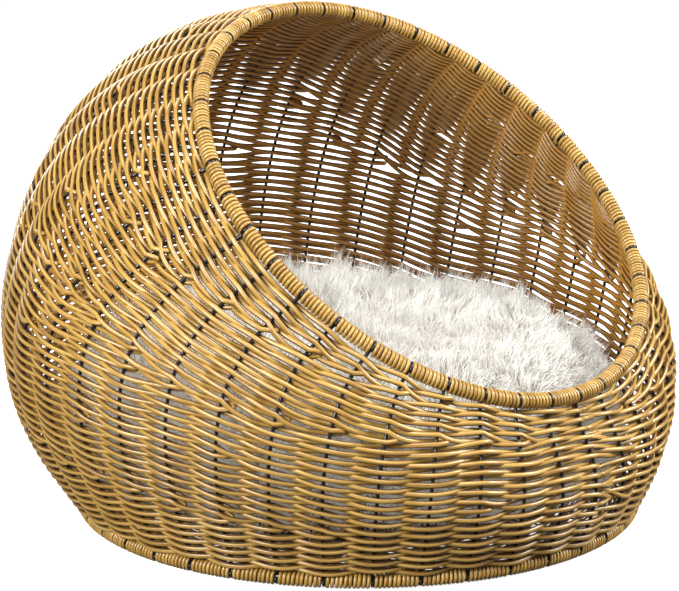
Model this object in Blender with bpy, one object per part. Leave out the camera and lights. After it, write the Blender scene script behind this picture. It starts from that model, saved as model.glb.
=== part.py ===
"""A round wicker pet bed: a wire frame, three zones of weave, two wrapped rims, a floor and a cushion.

Lengths are in metres, +Z is up and the opening faces -Y. The origin is on the floor, under the
middle of the bed. Touching pieces are drawn GAP apart.
"""

import math

import bmesh
import bpy
import numpy as np

# Wire and strand
STRAND = 0.0030
RIB_DIAMETER = 0.0020
ROD_DIAMETER = 0.0055
GAP = 0.0003

# Base ring and opening hoop, measured to the middle of the rod
RIB_COUNT = 40
BED_CENTRE_Y = -0.0166
RING_RADIUS = 0.200
WRAP_RADIUS = ROD_DIAMETER / 2 + STRAND
FOOT_FLAT = 0.0030
RING_HEIGHT = math.sqrt(WRAP_RADIUS**2 - (FOOT_FLAT / 2) ** 2)
HOOP_RADIUS = 0.1783
HOOP_CENTRE_Y = -0.0656
HOOP_HEIGHT = 0.2338
HOOP_TILT = math.radians(42.4)

# How a rib leaves the base ring and meets the hoop, at the front, the sides and the back.
# A reach is how far the wire keeps its direction, a lean is that direction above the outward line.
FOOT_REACH = (0.0736, 0.1898, 0.0555)
FOOT_LEAN = (math.radians(58.7), math.radians(61.7), math.radians(31.7))
TOP_REACH = (0.0310, 0.0543, 0.2599)
TOP_LEAN = (math.radians(48.6), math.radians(60.3), math.radians(45.8))

# Woven wall
WALL_THICKNESS = 0.0050
WALL_TO_RIM = WRAP_RADIUS + 2 * GAP
BASE_ROUNDS_HEIGHT = 0.0580
HOOP_ROUNDS_HEIGHT = 0.0580
SHORT_ROWS_FIRST_RIB = 3
SHORT_ROWS_STEPS = 6
TIP_REACH = 0.8
GROOVE_WIDTH = RIB_DIAMETER + 0.0009
GROOVE_FLOOR = -(RIB_DIAMETER / 2 + 0.0004)

# Rims
SLOT_WIDTH = RIB_DIAMETER + 0.0015
ROD_SIDES = 6
RIB_SIDES = 5
WRAP_OUTER_STEPS = (5, 3)
WRAP_INNER_STEPS = 7

# Floor
FLOOR_RADIUS = RING_RADIUS - WRAP_RADIUS - 0.00045
FLOOR_WIRE_DIAMETER = 0.0030
FLOOR_WIRE_HEIGHT = 0.0024
FLOOR_BOTTOM = 0.0042
FLOOR_THICKNESS = 0.0040

# Cushion: radius and height of the points down its side, from the middle of the top
CUSHION_CENTRE_Y = BED_CENTRE_Y + 0.008
CUSHION_BOTTOM = FLOOR_BOTTOM + FLOOR_THICKNESS + GAP
CUSHION_RADIUS = 0.196
CUSHION_HEIGHT = 0.125
CUSHION_BASE_RADIUS = 0.168
CUSHION_SIDES = 40

COLLECTION = bpy.context.scene.collection


def clear_scene():
    for item in list(bpy.data.objects):
        bpy.data.objects.remove(item, do_unlink=True)


def make_material(name, colour, roughness, metallic=0.0, coat=0.0):
    material = bpy.data.materials.new(name)
    material.use_nodes = True
    shader = material.node_tree.nodes["Principled BSDF"]
    shader.inputs["Base Color"].default_value = (*colour, 1.0)
    shader.inputs["Roughness"].default_value = roughness
    shader.inputs["Metallic"].default_value = metallic
    shader.inputs["Coat Weight"].default_value = coat
    material.diffuse_color = (*colour, 1.0)
    return material


def black_steel():
    return make_material("black_coated_steel", (0.012, 0.012, 0.013), 0.28, 0.0, 0.4)


def honey_strand():
    return make_material("honey_strand", (0.56, 0.33, 0.10), 0.38, 0.0, 0.15)


def white_fur():
    return make_material("white_fur", (0.86, 0.84, 0.80), 0.95)


def add_object(name, points, faces, material, smooth=True):
    """A mesh object with its faces turned outwards."""
    mesh = bpy.data.meshes.new(name)
    mesh.from_pydata([tuple(point) for point in points], [], faces)
    work = bmesh.new()
    work.from_mesh(mesh)
    bmesh.ops.recalc_face_normals(work, faces=work.faces)
    work.to_mesh(mesh)
    work.free()
    mesh.polygons.foreach_set("use_smooth", [smooth] * len(mesh.polygons))
    if smooth:
        mesh.set_sharp_from_angle(angle=math.radians(50))
    mesh.materials.append(material)
    item = bpy.data.objects.new(name, mesh)
    COLLECTION.objects.link(item)
    return item


def rib_angle(index):
    """The angle of a rib from the front of the bed, growing towards +X."""
    return 2 * math.pi * index / RIB_COUNT


def around(values, angle):
    """A value that is given at the front, the sides and the back, at any angle between."""
    front, side, back = values
    forward = math.cos(angle)
    return side + (front - back) / 2 * forward + ((front + back) / 2 - side) * forward**2


def ring_frame(angle):
    """Middle of the ring's rod, its outward line and its upward line."""
    outward = np.array([math.sin(angle), -math.cos(angle), 0.0])
    upward = np.array([0.0, 0.0, 1.0])
    middle = RING_RADIUS * outward + np.array([0.0, BED_CENTRE_Y, RING_HEIGHT])
    return middle, outward, upward


def hoop_frame(angle):
    """Middle of the hoop's rod, its outward line and the line down into the bed."""
    level = np.array([0.0, math.cos(HOOP_TILT), math.sin(HOOP_TILT)])
    into = np.array([0.0, math.sin(HOOP_TILT), -math.cos(HOOP_TILT)])
    outward = math.sin(angle) * np.array([1.0, 0.0, 0.0]) - math.cos(angle) * level
    centre = np.array([0.0, BED_CENTRE_Y + HOOP_CENTRE_Y, HOOP_HEIGHT])
    return centre + HOOP_RADIUS * outward, outward, into


def rib_line(angle):
    """Closely spaced points of a rib's centre line from the ring to the hoop, and their distances."""
    foot, out_low, up = ring_frame(angle)
    top, out_high, down = hoop_frame(angle)
    low, high = around(FOOT_LEAN, angle), around(TOP_LEAN, angle)
    near_foot = foot + around(FOOT_REACH, angle) * (math.cos(low) * out_low + math.sin(low) * up)
    near_top = top + around(TOP_REACH, angle) * (math.cos(high) * out_high + math.sin(high) * down)
    t = np.linspace(0, 1, 401)[:, None]
    line = (1 - t) ** 3 * foot + 3 * (1 - t) ** 2 * t * near_foot
    line = line + 3 * (1 - t) * t**2 * near_top + t**3 * top
    steps = np.linalg.norm(np.diff(line, axis=0), axis=1)
    return line, np.concatenate([[0.0], np.cumsum(steps)])


def point_on(angle, distance):
    line, along = rib_line(angle)
    return np.array([np.interp(distance, along, line[:, axis]) for axis in range(3)])


def rib_length(angle):
    return rib_line(angle)[1][-1]


def wall_frame(angle, distance):
    """Point of the rib surface, the outward normal there and the sideways line."""
    step = 0.001
    here = point_on(angle, distance)
    ahead = point_on(angle, distance + step) - point_on(angle, distance - step)
    beside = point_on(angle + step, distance) - point_on(angle - step, distance)
    normal = np.cross(beside, ahead)
    normal /= np.linalg.norm(normal)
    sideways = np.cross(ahead, normal)
    sideways /= np.linalg.norm(sideways)
    if np.dot(sideways, beside) < 0:
        sideways = -sideways
    return here, normal, sideways


def has_short_rows(index):
    return SHORT_ROWS_FIRST_RIB <= index <= RIB_COUNT - SHORT_ROWS_FIRST_RIB


def zone_limits(index):
    """Distances along a rib: wall's lower edge, end of base rounds, start of hoop rounds, upper edge."""
    length = rib_length(rib_angle(index))
    low, high = WALL_TO_RIM, length - WALL_TO_RIM
    if has_short_rows(index):
        return low, BASE_ROUNDS_HEIGHT, length - HOOP_ROUNDS_HEIGHT, high
    middle = length * BASE_ROUNDS_HEIGHT / (BASE_ROUNDS_HEIGHT + HOOP_ROUNDS_HEIGHT)
    return low, middle, middle, high


def base_stations(index):
    low, end, _, _ = zone_limits(index)
    return np.linspace(low, end - GAP / 2, 3)


def short_row_stations(index):
    _, start, end, _ = zone_limits(index)
    return np.linspace(start + GAP / 2, end - GAP / 2, SHORT_ROWS_STEPS + 1)


def hoop_stations(index):
    _, _, start, high = zone_limits(index)
    return np.linspace(start + GAP / 2, high, 3)


def rib_stations(index):
    """Distances of a rib's bends, which are the wall's own, so that each rib stays in its groove."""
    length = rib_length(rib_angle(index))
    stations = [ROD_DIAMETER / 2 + GAP, *base_stations(index)[:2], zone_limits(index)[1]]
    if has_short_rows(index):
        stations += [*short_row_stations(index)[1:-1], zone_limits(index)[2]]
    stations += [*hoop_stations(index)[1:], length - ROD_DIAMETER / 2 - GAP]
    return stations


def make_rib(index, material):
    angle = rib_angle(index)
    frames = [wall_frame(angle, distance) for distance in rib_stations(index)]
    turns = [2 * math.pi * side / RIB_SIDES for side in range(RIB_SIDES)]
    points = []
    for here, normal, sideways in frames:
        for turn in turns:
            spoke = math.cos(turn) * normal + math.sin(turn) * sideways
            points.append(here + RIB_DIAMETER / 2 * spoke)
    faces = tube_faces(len(frames), RIB_SIDES, closed=False)
    return add_object(f"rib_{index + 1:02d}", points, faces, material)


def tube_faces(stations, sides, closed):
    """Faces of a tube of equal rings; a tube that isn't closed on itself gets two end caps."""
    faces = []
    for station in range(stations if closed else stations - 1):
        after = (station + 1) % stations
        for side in range(sides):
            beside = (side + 1) % sides
            faces.append(
                (
                    station * sides + side,
                    station * sides + beside,
                    after * sides + beside,
                    after * sides + side,
                )
            )
    if not closed:
        faces.append(tuple(range(sides)))
        faces.append(tuple((stations - 1) * sides + side for side in range(sides)))
    return faces


def make_rod(name, frame_at, material):
    points = []
    for index in range(RIB_COUNT):
        middle, outward, other = frame_at(rib_angle(index))
        for side in range(ROD_SIDES):
            turn = 2 * math.pi * (side + 0.5) / ROD_SIDES
            spoke = math.cos(turn) * outward + math.sin(turn) * other
            points.append(middle + ROD_DIAMETER / 2 * spoke)
    return add_object(name, points, tube_faces(RIB_COUNT, ROD_SIDES, closed=True), material)


def wrap_profile(lean, flat_angle):
    """Outline of a wrapped rim as (angle, radius), open towards the wall, flat at flat_angle."""
    inner_radius = ROD_DIAMETER / 2 + GAP
    outer_half = math.asin(SLOT_WIDTH / 2 / WRAP_RADIUS)
    inner_half = math.asin(SLOT_WIDTH / 2 / inner_radius)
    flat_half = math.asin(FOOT_FLAT / 2 / WRAP_RADIUS)
    first, second = WRAP_OUTER_STEPS
    outline = list(np.linspace(lean + outer_half, flat_angle - flat_half, first + 1))
    outline += list(np.linspace(flat_angle + flat_half, 2 * math.pi + lean - outer_half, second + 1))
    profile = [(angle, WRAP_RADIUS) for angle in outline]
    inner = np.linspace(2 * math.pi + lean - inner_half, lean + inner_half, WRAP_INNER_STEPS + 1)
    return profile + [(angle, inner_radius) for angle in inner]


def slot_lean(angle, frame_at, from_foot):
    """Direction in which the rib passes through a rim's slot, above the outward line."""
    middle, outward, other = frame_at(angle)
    distance = WRAP_RADIUS if from_foot else rib_length(angle) - WRAP_RADIUS
    towards = point_on(angle, distance) - middle
    return math.atan2(np.dot(towards, other), np.dot(towards, outward))


def make_wrap(name, frame_at, from_foot, material):
    points = []
    for index in range(RIB_COUNT):
        angle = rib_angle(index)
        middle, outward, other = frame_at(angle)
        profile = wrap_profile(slot_lean(angle, frame_at, from_foot), 1.5 * math.pi)
        for turn, radius in profile:
            spoke = math.cos(turn) * outward + math.sin(turn) * other
            points.append(middle + radius * spoke)
    sides = len(points) // RIB_COUNT
    return add_object(name, points, tube_faces(RIB_COUNT, sides, closed=True), material)


def groove_columns(index, stations):
    """The two sides of a rib's groove. Each holds wall top, groove floor and inner face per station."""
    left, right = [], []
    for distance in stations:
        here, normal, sideways = wall_frame(rib_angle(index), distance)
        for column, sign in ((left, -1), (right, 1)):
            edge = here + sign * GROOVE_WIDTH / 2 * sideways
            column.append(
                [
                    edge + WALL_THICKNESS / 2 * normal,
                    edge + GROOVE_FLOOR * normal,
                    edge - WALL_THICKNESS / 2 * normal,
                ]
            )
    return [left, right]


def end_column(near, far):
    """The end of a zone, on the way from its last groove to the next rib's."""
    return [(1 - TIP_REACH) * np.array(near) + TIP_REACH * np.array(far)]


def wall_zone(name, columns, closed, material):
    """One woven zone as a solid shell with a groove for each rib on its outer side.

    Columns come in pairs, one pair per rib; an open zone has one more column at either end.
    """
    grid = np.array(columns)
    count, rows = grid.shape[:2]
    points = grid.reshape(-1, 3)

    def at(column, row, layer):
        return ((column % count) * rows + row) * 3 + layer

    def strip(first, second):
        return [
            (first(row), second(row), second(row + 1), first(row + 1)) for row in range(rows - 1)
        ]

    faces = []
    groove_parity = 0 if closed else 1
    for column in range(count if closed else count - 1):
        after = column + 1
        in_groove = column % 2 == groove_parity
        faces += strip(lambda r: at(column, r, 2), lambda r: at(after, r, 2))
        top = 1 if in_groove else 0
        faces += strip(lambda r: at(column, r, top), lambda r: at(after, r, top))
        for row in (0, rows - 1):
            faces.append((at(column, row, 1), at(after, row, 1), at(after, row, 2), at(column, row, 2)))
            if not in_groove:
                faces.append(
                    (at(column, row, 0), at(after, row, 0), at(after, row, 1), at(column, row, 1))
                )
        if in_groove:
            for wall in (column, after):
                faces += strip(lambda r: at(wall, r, 0), lambda r: at(wall, r, 1))
    if not closed:
        for end in (0, count - 1):
            faces += strip(lambda r: at(end, r, 0), lambda r: at(end, r, 1))
            faces += strip(lambda r: at(end, r, 1), lambda r: at(end, r, 2))
    return add_object(name, points, faces, material, smooth=False)


def make_full_zone(name, stations_of, material):
    columns = []
    for index in range(RIB_COUNT):
        columns += groove_columns(index, stations_of(index))
    return wall_zone(name, columns, True, material)


def short_row_tip(index, neighbour):
    """Stations of a zone end: between this rib's and those where its neighbour's zones meet."""
    own = groove_columns(index, short_row_stations(index))
    seam = zone_limits(neighbour)[1]
    other = groove_columns(neighbour, np.full(SHORT_ROWS_STEPS + 1, seam))
    return (own[0], other[1]) if neighbour < index else (own[1], other[0])


def make_short_rows(material):
    first, last = SHORT_ROWS_FIRST_RIB, RIB_COUNT - SHORT_ROWS_FIRST_RIB
    columns = end_column(*short_row_tip(first, first - 1))
    for index in range(first, last + 1):
        columns += groove_columns(index, short_row_stations(index))
    columns += end_column(*short_row_tip(last, last + 1))
    return wall_zone("weave_short_rows", columns, False, material)


def make_floor_wires(material):
    """Two crossing wires, welded where they meet."""
    bars = []
    for turn in (0.0, math.pi / 2):
        bpy.ops.mesh.primitive_cylinder_add(
            vertices=8,
            radius=FLOOR_WIRE_DIAMETER / 2,
            depth=2 * FLOOR_RADIUS,
            location=(0.0, BED_CENTRE_Y, FLOOR_WIRE_HEIGHT),
            rotation=(math.pi / 2, 0.0, turn),
        )
        bars.append(bpy.context.object)
    wires, other = bars
    wires.name = "floor_wires"
    wires.data.name = "floor_wires"
    weld = wires.modifiers.new("weld", "BOOLEAN")
    weld.operation = "UNION"
    weld.solver = "EXACT"
    weld.object = other
    other.name = "floor_wire_cutter"
    other.hide_render = True
    other.display_type = "WIRE"
    wires.data.polygons.foreach_set("use_smooth", [True] * len(wires.data.polygons))
    wires.data.set_sharp_from_angle(angle=math.radians(50))
    wires.data.materials.append(material)


def make_floor(material):
    points = []
    for height in (FLOOR_BOTTOM, FLOOR_BOTTOM + FLOOR_THICKNESS):
        for index in range(RIB_COUNT):
            angle = rib_angle(index)
            x, y = FLOOR_RADIUS * math.sin(angle), BED_CENTRE_Y - FLOOR_RADIUS * math.cos(angle)
            points.append((x, y, height))
    add_object("woven_floor", points, tube_faces(2, RIB_COUNT, closed=False), material)


def cushion_profile():
    """Radius and height of the cushion's side, from the rim of its top to its flat bottom."""
    side = CUSHION_BOTTOM + 0.42 * CUSHION_HEIGHT
    profile = []
    for lift in (68, 50, 32, 14):
        turn = math.radians(lift)
        radius = CUSHION_RADIUS * math.cos(turn) ** 0.5
        profile.append((radius, side + 0.58 * CUSHION_HEIGHT * math.sin(turn) ** 0.9))
    profile.append((CUSHION_RADIUS, side))
    profile.append((0.965 * CUSHION_RADIUS, CUSHION_BOTTOM + 0.16 * CUSHION_HEIGHT))
    profile.append((CUSHION_BASE_RADIUS, CUSHION_BOTTOM))
    return profile


def make_cushion(material):
    profile = cushion_profile()
    points = []
    for radius, height in profile:
        for side in range(CUSHION_SIDES):
            turn = 2 * math.pi * side / CUSHION_SIDES
            x, y = radius * math.sin(turn), CUSHION_CENTRE_Y - radius * math.cos(turn)
            points.append((x, y, height))
    faces = tube_faces(len(profile), CUSHION_SIDES, closed=False)[:-2]
    faces.append(tuple((len(profile) - 1) * CUSHION_SIDES + side for side in range(CUSHION_SIDES)))
    points.append((0.0, CUSHION_CENTRE_Y, CUSHION_BOTTOM + CUSHION_HEIGHT))
    crown = len(points) - 1
    faces += [(side, (side + 1) % CUSHION_SIDES, crown) for side in range(CUSHION_SIDES)]
    add_object("cushion", points, faces, material)


def main():
    clear_scene()
    steel, strand, fur = black_steel(), honey_strand(), white_fur()
    make_rod("base_ring", ring_frame, steel)
    make_rod("opening_hoop", hoop_frame, steel)
    for index in range(RIB_COUNT):
        make_rib(index, steel)
    make_wrap("base_wrap", ring_frame, True, strand)
    make_wrap("hoop_wrap", hoop_frame, False, strand)
    make_full_zone("weave_base_rounds", base_stations, strand)
    make_short_rows(strand)
    make_full_zone("weave_hoop_rounds", hoop_stations, strand)
    make_floor_wires(steel)
    make_floor(strand)
    make_cushion(fur)


main()
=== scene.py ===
import sys
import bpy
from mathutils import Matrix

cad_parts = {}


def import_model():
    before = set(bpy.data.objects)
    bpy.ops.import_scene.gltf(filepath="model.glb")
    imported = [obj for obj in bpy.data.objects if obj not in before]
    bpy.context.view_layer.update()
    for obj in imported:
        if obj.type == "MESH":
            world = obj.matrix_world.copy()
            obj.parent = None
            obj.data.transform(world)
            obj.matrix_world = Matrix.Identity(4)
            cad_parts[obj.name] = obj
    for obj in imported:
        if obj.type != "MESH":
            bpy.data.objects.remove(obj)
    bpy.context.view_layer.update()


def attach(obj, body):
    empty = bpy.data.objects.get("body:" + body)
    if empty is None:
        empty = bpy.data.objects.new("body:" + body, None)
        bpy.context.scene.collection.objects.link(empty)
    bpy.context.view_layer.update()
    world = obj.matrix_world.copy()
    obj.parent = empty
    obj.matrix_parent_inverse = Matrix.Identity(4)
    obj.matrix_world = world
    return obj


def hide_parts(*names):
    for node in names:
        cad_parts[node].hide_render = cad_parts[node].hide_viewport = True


"""The looks of a round wicker pet bed: coated wires, woven strand, wrapped rims, fur cushion.

Lengths are in metres, +Z is up and the opening faces -Y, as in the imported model. An angle round
the bed is 0 at the front and grows towards +X, and a distance along a rib starts at the base ring.
"""

import logging
import math
from dataclasses import dataclass, field
from enum import Enum
from typing import Callable

import bpy
import numpy as np
from mathutils import Vector

LOG = logging.getLogger("wicker_bed")
TURN = 2 * math.pi
TINY = 1e-9
GOLDEN = 0.381966
MAP_NAME = "strand"
UP = np.array([0.0, 0.0, 1.0])
Array = np.ndarray
Material = bpy.types.Material
Pair = tuple[Array, Array]
Triple = tuple[Array, Array, Array]


class Slot(Enum):
    """Names of the material slots."""

    STEEL = "black_coated_steel"
    STRAND = "honey_strand"
    FUR = "white_fur"


class Body(Enum):
    """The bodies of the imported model."""

    BASKET = "basket"
    CUSHION = "loose_cushion"


# ---------------------------------------------------------------- surfaces


@dataclass
class Surface:
    """Points with four-cornered and three-cornered faces, and a map of every face corner."""

    points: Array
    quads: Array
    quad_map: Array
    triangles: Array
    triangle_map: Array

    @staticmethod
    def joined(parts: "list[Surface]") -> "Surface":
        """One surface that holds every part.

        Args:
            parts: The surfaces, in order.

        Returns:
            Their points and faces one after another, with the faces renumbered.
        """
        starts = np.cumsum([0] + [len(part.points) for part in parts[:-1]])
        return Surface(
            np.concatenate([part.points for part in parts]),
            np.concatenate([part.quads + start for part, start in zip(parts, starts)]),
            np.concatenate([part.quad_map for part in parts]),
            np.concatenate([part.triangles + start for part, start in zip(parts, starts)]),
            np.concatenate([part.triangle_map for part in parts]),
        )

    def mesh(self, name: str) -> bpy.types.Mesh:
        """A smooth mesh of this surface, its map stored as a UV map.

        Args:
            name: The mesh's name.

        Returns:
            The new mesh.
        """
        mesh = bpy.data.meshes.new(name)
        corners = np.concatenate([self.quads.ravel(), self.triangles.ravel()])
        sizes = np.repeat([4, 3], [len(self.quads), len(self.triangles)])
        mesh.vertices.add(len(self.points))
        mesh.vertices.foreach_set("co", self.points.astype(np.float32).ravel())
        mesh.loops.add(len(corners))
        mesh.loops.foreach_set("vertex_index", corners.astype(np.int32))
        mesh.polygons.add(len(sizes))
        mesh.polygons.foreach_set("loop_start", (np.cumsum(sizes) - sizes).astype(np.int32))
        mesh.polygons.foreach_set("use_smooth", np.ones(len(sizes), bool))
        values = np.concatenate([self.quad_map.reshape(-1, 2), self.triangle_map.reshape(-1, 2)])
        mesh.update(calc_edges=True)
        layer = mesh.uv_layers.new(name=MAP_NAME)
        layer.data.foreach_set("uv", values.astype(np.float32).ravel())
        mesh.validate()
        return mesh


def unit(vectors: Array) -> Array:
    """The vectors scaled to length one."""
    return vectors / np.maximum(np.linalg.norm(vectors, axis=-1, keepdims=True), TINY)


def outward_lines(angle: Array) -> Array:
    """Level unit vectors away from the middle at these angles."""
    return np.stack([np.sin(angle), -np.cos(angle), np.zeros_like(angle)], -1)


def grid_quads(rows: int, columns: int, close_rows: bool) -> Array:
    """Faces of a grid whose columns always close on themselves.

    Args:
        rows: Rings of points.
        columns: Points in a ring.
        close_rows: Whether the last ring joins the first.

    Returns:
        Point numbers, four to a face.
    """
    row = np.arange(rows if close_rows else rows - 1)[:, None]
    column = np.arange(columns)[None, :]
    after, beside = (row + 1) % rows, (column + 1) % columns
    corners = (
        row * columns + column,
        row * columns + beside,
        after * columns + beside,
        after * columns + column,
    )
    return np.stack([np.broadcast_to(c, (len(row), columns)) for c in corners], -1).reshape(-1, 4)


def fan(ring: Array, centre: int, turned: bool) -> Array:
    """Triangles from every edge of a ring to its centre.

    Args:
        ring: Point numbers round the ring.
        centre: The centre's point number.
        turned: Whether the triangles face the other way.

    Returns:
        Point numbers, three to a face.
    """
    first, second = ring, np.roll(ring, -1)
    if turned:
        first, second = second, first
    return np.stack([first, second, np.full(len(ring), centre)], -1)


def tube(
    path: Array,
    normal: Array,
    half_depth: float,
    half_width: float,
    sides: int,
    closed: bool = False,
    start: float = 0.0,
) -> Surface:
    """An oval carried along a path: centre + depth * cos(turn) * normal + width * sin(turn) * side.

    The map's first number is the length along the path in metres, its second the turn from 0 to 1.

    Args:
        path: Points of the centre line.
        normal: The direction of the oval's depth at each point.
        half_depth: Half the oval's size along the normal.
        half_width: Half the oval's size across it.
        sides: Points round the oval.
        closed: Whether the path ends where it starts.
        start: The map's length at the first point, so that strands differ.

    Returns:
        The tube, with its ends capped if it is open.
    """
    if closed:
        along = unit(np.roll(path, -1, axis=0) - np.roll(path, 1, axis=0))
    else:
        along = unit(np.gradient(path, axis=0))
    across = unit(np.cross(along, normal))
    upright = np.cross(across, along)
    turn = TURN * np.arange(sides) / sides
    ring = half_depth * np.cos(turn)[None, :, None] * upright[:, None]
    ring = ring + half_width * np.sin(turn)[None, :, None] * across[:, None]
    points = (path[:, None] + ring).reshape(-1, 3)
    ends = np.roll(path, -1, axis=0) if closed else path[1:]
    steps = np.linalg.norm(ends - path[: len(ends)], axis=1)
    length = start + np.concatenate([[0.0], np.cumsum(steps)])
    quads = grid_quads(len(path), sides, closed)
    spans = len(quads) // sides
    low, high = np.repeat(length[:spans], sides), np.repeat(length[1 : spans + 1], sides)
    left = np.tile(np.arange(sides) / sides, spans)
    right = left + 1 / sides
    corners = ((low, left), (low, right), (high, right), (high, left))
    quad_map = np.stack([np.stack(corner, -1) for corner in corners], axis=1)
    if closed:
        return Surface(points, quads, quad_map, np.zeros((0, 3), int), np.zeros((0, 3, 2)))
    first, last = np.arange(sides), len(points) - sides + np.arange(sides)
    caps = [fan(first, len(points), True), fan(last, len(points) + 1, False)]
    cap_map = np.zeros((2 * sides, 3, 2))
    cap_map[:sides, :, 0] = length[0]
    cap_map[sides:, :, 0] = length[-1]
    points = np.concatenate([points, path[:1], path[-1:]])
    return Surface(points, quads, quad_map, np.concatenate(caps), cap_map)


# ---------------------------------------------------------------- shader nodes


def maths(operation: str, swapped: bool = False) -> "Callable[[Value, Value | float], Value]":
    """A method of Value that adds one Math node.

    Args:
        operation: The node's operation.
        swapped: Whether the other number comes first.

    Returns:
        The method.
    """

    def join(self: "Value", other: "Value | float") -> "Value":
        """The result of the operation on this number and another."""
        return self.graph.math(operation, *((other, self) if swapped else (self, other)))

    return join


class Value:
    """A number that a node gives. Arithmetic on it adds Math nodes."""

    def __init__(self, graph: "Graph", socket: bpy.types.NodeSocket) -> None:
        """Keeps the socket and the graph that it belongs to."""
        self.graph = graph
        self.socket = socket

    __add__, __radd__ = maths("ADD"), maths("ADD", True)
    __sub__, __rsub__ = maths("SUBTRACT"), maths("SUBTRACT", True)
    __mul__, __rmul__ = maths("MULTIPLY"), maths("MULTIPLY", True)

    def smooth(self, low: float, high: float) -> "Value":
        """0 below low, 1 above high and a smooth step between."""
        inputs = {"Value": self, "From Min": low, "From Max": high}
        return self.graph.add("ShaderNodeMapRange", {"interpolation_type": "SMOOTHSTEP"}, inputs)


class Graph:
    """A material's node tree around one Principled shader."""

    def __init__(self, name: str) -> None:
        """Starts a material of this name.

        Args:
            name: The material's name.
        """
        self.material = bpy.data.materials.new(name)
        self.material.use_nodes = True
        self.tree = self.material.node_tree
        self.shader = self.tree.nodes["Principled BSDF"]

    def put(self, socket: bpy.types.NodeSocket, value: object) -> None:
        """Links a value to a socket, or sets the socket to a plain number, colour or vector.

        Args:
            socket: The socket.
            value: A Value, a number, or a tuple of three numbers.
        """
        if isinstance(value, Value):
            self.tree.links.new(value.socket, socket)
        elif isinstance(value, tuple) and len(value) == 3 and socket.type == "RGBA":
            socket.default_value = (*value, 1.0)
        else:
            socket.default_value = value

    def add(self, kind: str, settings: dict, inputs: dict, output: object = 0) -> Value:
        """Adds one node.

        Args:
            kind: The node's type.
            settings: Its own settings, set first. "stops" are a ramp's (place, colour) pairs.
            inputs: Values or links of its sockets, by name or number.
            output: The name or number of the output that is wanted.

        Returns:
            That output.
        """
        node = self.tree.nodes.new(kind)
        for key, value in settings.items():
            if key == "stops":
                self._set_stops(node.color_ramp, value)
            else:
                setattr(node, key, value)
        for key, value in inputs.items():
            self.put(node.inputs[key], value)
        return Value(self, node.outputs[output])

    @staticmethod
    def _set_stops(ramp: bpy.types.ColorRamp, stops: list) -> None:
        """Gives a ramp these (place, colour) stops.

        Args:
            ramp: The ramp.
            stops: Places from 0 to 1 with their colours.
        """
        while len(ramp.elements) < len(stops):
            ramp.elements.new(0.5)
        for element, (place, colour) in zip(ramp.elements, stops):
            element.position = place
            element.color = (*colour, 1.0)

    def shade(self, **inputs: object) -> Material:
        """Sets the shader's sockets, their names written with _ for a space.

        Args:
            inputs: Values by socket name.

        Returns:
            The material.
        """
        for key, value in inputs.items():
            self.put(self.shader.inputs[key.replace("_", " ")], value)
        return self.material

    def math(self, operation: str, *numbers: "Value | float") -> Value:
        """A Math node on one or two numbers."""
        return self.add("ShaderNodeMath", {"operation": operation}, dict(enumerate(numbers)))

    def axis(self, vector: Value, name: str) -> Value:
        """The X, Y or Z part of a vector."""
        return self.add("ShaderNodeSeparateXYZ", {}, {"Vector": vector}, name)

    def object_place(self) -> Value:
        """Object coordinates."""
        return self.add("ShaderNodeTexCoord", {}, {}, "Object")

    def map_place(self, along: float = 1.0, around: float = 1.0) -> Value:
        """The piece's own map, its two numbers stretched.

        Args:
            along: How many times its first number is stretched.
            around: How many times its second number is stretched.

        Returns:
            The stretched map as a vector.
        """
        base = self.add("ShaderNodeUVMap", {"uv_map": MAP_NAME}, {})
        scale = (along, around, 1.0)
        return self.add("ShaderNodeMapping", {}, {"Vector": base, "Scale": scale})

    def noise(self, place: Value, scale: float, detail: float, roughness: float = 0.5) -> Value:
        """A noise pattern from 0 to 1 at the place."""
        inputs = {"Vector": place, "Scale": scale, "Detail": detail, "Roughness": roughness}
        return self.add("ShaderNodeTexNoise", {}, inputs, "Fac")

    def ramp(self, value: Value, stops: list) -> Value:
        """A colour ramp on a value."""
        return self.add("ShaderNodeValToRGB", {"stops": stops}, {"Fac": value}, "Color")

    def mix(self, share: "Value | float", first: object, second: object) -> Value:
        """Two colours mixed by a share from 0 to 1.

        Args:
            share: 0 for the first colour, 1 for the second.
            first: A colour or a Value.
            second: A colour or a Value.

        Returns:
            The mixed colour.
        """
        node = self.tree.nodes.new("ShaderNodeMix")
        node.data_type = "RGBA"
        self.put(node.inputs["Factor"], share)
        colours = [socket for socket in node.inputs if socket.type == "RGBA"]
        for socket, colour in zip(colours, (first, second)):
            self.put(socket, colour)
        return Value(self, next(socket for socket in node.outputs if socket.type == "RGBA"))

    def bump(self, height: Value, strength: float, distance: float) -> Value:
        """A normal bent by a height in metres times distance."""
        inputs = {"Height": height, "Strength": strength, "Distance": distance}
        return self.add("ShaderNodeBump", {}, inputs, "Normal")


# ---------------------------------------------------------------- finishes


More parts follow.
